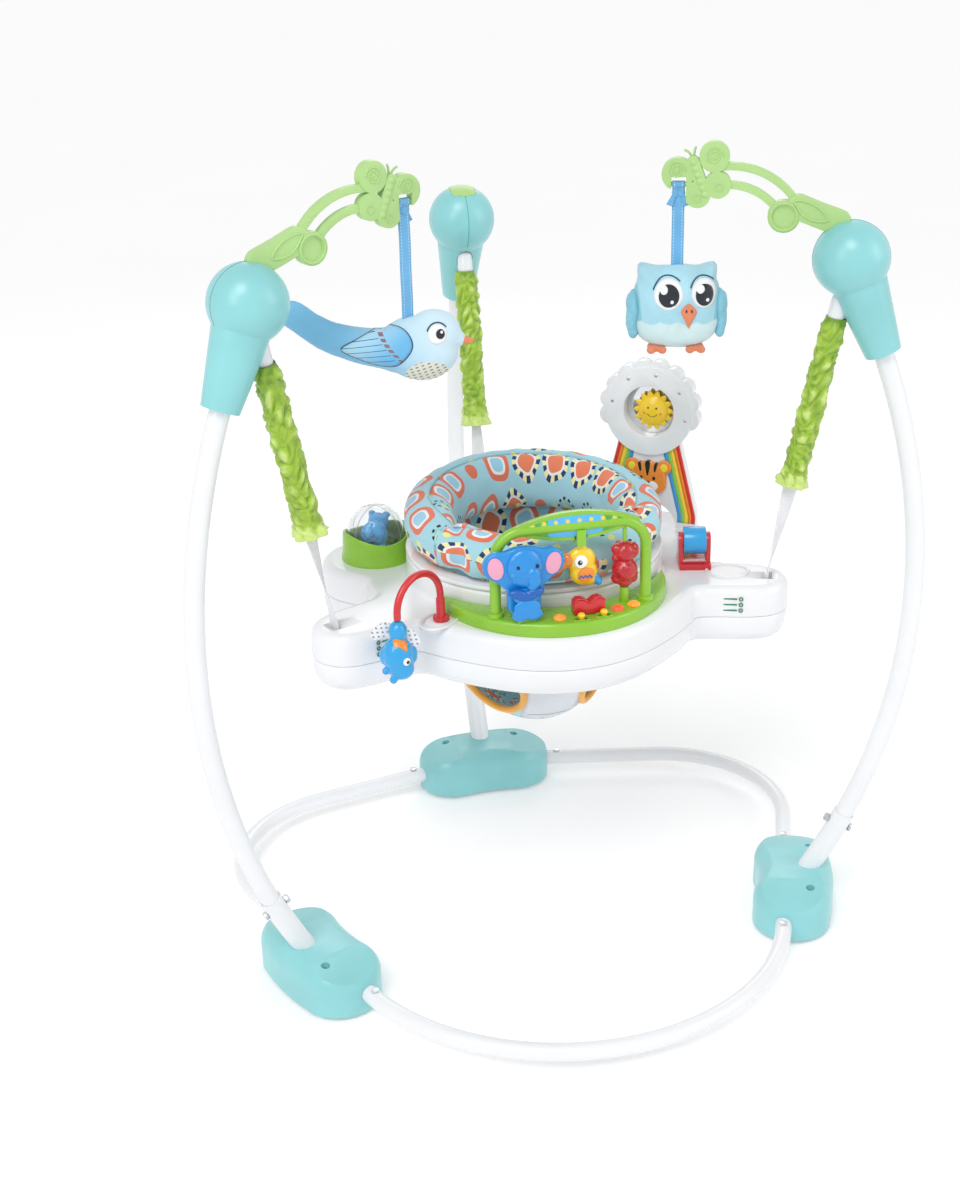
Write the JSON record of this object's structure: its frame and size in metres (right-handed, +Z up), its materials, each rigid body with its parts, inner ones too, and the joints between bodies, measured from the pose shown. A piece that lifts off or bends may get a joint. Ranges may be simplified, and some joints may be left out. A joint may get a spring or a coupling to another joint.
{
  "type": "baby jumper",
  "caption": "Free-standing baby jumper: bowed posts on a floor ring, ball heads with sprung straps carrying a toy tray, a padded seat that turns, and toy arms with hanging soft toys.",
  "frame": {"origin": "on the floor, on the upright axis that the seat turns about", "axes": "+Z up, the front with the toy panel is -Y, +X to the right as seen from the front"},
  "size_m": [0.8286, 0.8032, 0.9265],
  "materials": {
    "teal_plastic": "satin gloss",
    "white_tube": "gloss paint",
    "screw_steel": "zinc plated",
    "pad_rubber": "matt",
    "green_plastic": "satin",
    "lime_plastic": "gloss",
    "blue_ribbon": "woven ribbon",
    "bird_plush": "short plush",
    "bird_felt": "felt",
    "owl_plush": "short plush",
    "owl_felt": "felt",
    "spring_steel": "drawn wire",
    "sleeve_satin": "gathered satin",
    "webbing": "woven webbing",
    "white_plastic": "gloss",
    "seat_cloth": "printed cotton",
    "blue_plastic": "gloss",
    "yellow_plastic": "gloss",
    "red_plastic": "gloss",
    "orange_lens": "translucent",
    "orange_plastic": "gloss",
    "circuit": "bare board",
    "clear_dome": "clear moulded",
    "mirror_silver": "mirror"
  },
  "bodies": {
    "frame": {"base_tube_front": "white_tube", "base_tube_left": "white_tube", "base_tube_right": "white_tube", "post_left": "white_tube", "post_right": "white_tube", "post_back": "white_tube", "post_stubs": "white_tube", "foot_left": "teal_plastic", "foot_right": "teal_plastic", "foot_back": "teal_plastic", "foot_pads": "pad_rubber", "frame_screws": "screw_steel", "head_left_front": "teal_plastic", "head_left_rear": "teal_plastic", "head_right_front": "teal_plastic", "head_right_rear": "teal_plastic", "head_back_left": "teal_plastic", "head_back_right": "teal_plastic", "spring_pins": "screw_steel", "arm_slot_cap": "green_plastic", "toy_arm_left": "green_plastic", "toy_arm_right": "green_plastic", "springs": "spring_steel", "spring_sleeves": "sleeve_satin"},
    "bird_toy": {"bird_ribbon": "blue_ribbon", "bird_body": "bird_plush", "bird_trim": "bird_felt"},
    "owl_toy": {"owl_ribbon": "blue_ribbon", "owl_body": "owl_plush", "owl_trim": "owl_felt"},
    "tray": {"straps": "webbing", "tray_top": "white_plastic", "tray_bottom": "white_plastic", "tray_screws": "screw_steel", "battery_door": "white_plastic", "panel_base": "lime_plastic", "panel_arch": "lime_plastic", "perch": "red_plastic", "light_lenses": "orange_lens", "sound_module": "circuit", "dome_base": "lime_plastic", "dome_cover": "clear_dome", "mirror_tower": "white_plastic", "mirror_ring": "white_plastic", "mirror_disc": "mirror_silver", "tiger_panel": "orange_plastic", "roller_cradle": "red_plastic"},
    "seat": {"seat_ring": "white_plastic", "seat_pad": "seat_cloth", "seat_sling": "seat_cloth"},
    "elephant_toy": {"elephant": "blue_plastic"},
    "parrot_toy": {"parrot": "yellow_plastic"},
    "red_toy": {"red_spinner": "red_plastic"},
    "volume_knob": {"volume_switch": "yellow_plastic"},
    "mode_knob": {"mode_switch": "yellow_plastic"},
    "dome_toy": {"dome_spinner": "blue_plastic"},
    "sun_toy": {"sun_spinner": "yellow_plastic"},
    "roller": {"roller_drum": "blue_plastic"},
    "tether": {"tether_stalk": "red_plastic", "tether_toy": "blue_plastic"}
  },
  "joints": [
    {"name": "bounce", "type": "slide", "parent": "frame", "child": "tray", "axis": [0, 0, 1], "range_m": [-0.09, 0.03], "stiffness_N_per_m": 1200, "springref_m": 0.026, "deforming": ["springs", "spring_sleeves"]},
    {"name": "seat_turn", "type": "hinge", "parent": "tray", "child": "seat", "pos_m": [0, 0, 0.47], "axis": [0, 0, 1], "continuous": true},
    {"name": "bird_swing", "type": "hinge", "parent": "frame", "child": "bird_toy", "pos_m": [-0.14758, -0.05962, 0.88148], "axis": [-0.9272, -0.3746, 0], "range_deg": [-30, 30]},
    {"name": "owl_swing", "type": "hinge", "parent": "frame", "child": "owl_toy", "pos_m": [0.14758, -0.05962, 0.88148], "axis": [0.9272, -0.3746, 0], "range_deg": [-30, 30]},
    {"name": "elephant_rock", "type": "hinge", "parent": "tray", "child": "elephant_toy", "pos_m": [-0.056, -0.172, 0.466], "axis": [0, 1, 0], "range_deg": [-12, 12], "stiffness_Nm_per_rad": 0.4},
    {"name": "parrot_swing", "type": "hinge", "parent": "tray", "child": "parrot_toy", "pos_m": [0.01, -0.158, 0.531], "axis": [0, 1, 0], "range_deg": [-10, 10]},
    {"name": "red_spin", "type": "hinge", "parent": "tray", "child": "red_toy", "pos_m": [0.06, -0.158, 0.499], "axis": [0, 0, 1], "continuous": true},
    {"name": "volume_slide", "type": "slide", "parent": "tray", "child": "volume_knob", "axis": [1, 0, 0], "range_m": [-0.004, 0.004]},
    {"name": "mode_slide", "type": "slide", "parent": "tray", "child": "mode_knob", "axis": [1, 0, 0], "range_m": [-0.004, 0.004]},
    {"name": "dome_spin", "type": "hinge", "parent": "tray", "child": "dome_toy", "pos_m": [-0.16929, 0.08626, 0.47], "axis": [-0.454, -0.891, 0], "continuous": true},
    {"name": "sun_spin", "type": "hinge", "parent": "tray", "child": "sun_toy", "pos_m": [0.17261, 0.08402, 0.59], "axis": [-0.5592, -0.829, 0], "continuous": true},
    {"name": "roller_spin", "type": "hinge", "parent": "tray", "child": "roller", "pos_m": [0.18047, -0.045, 0.47], "axis": [0.9703, -0.2419, 0], "continuous": true},
    {"name": "tether_swivel", "type": "hinge", "parent": "tray", "child": "tether", "pos_m": [-0.13585, -0.11809, 0.44], "axis": [0, 0, 1], "range_deg": [-8, 40]}
  ]
}
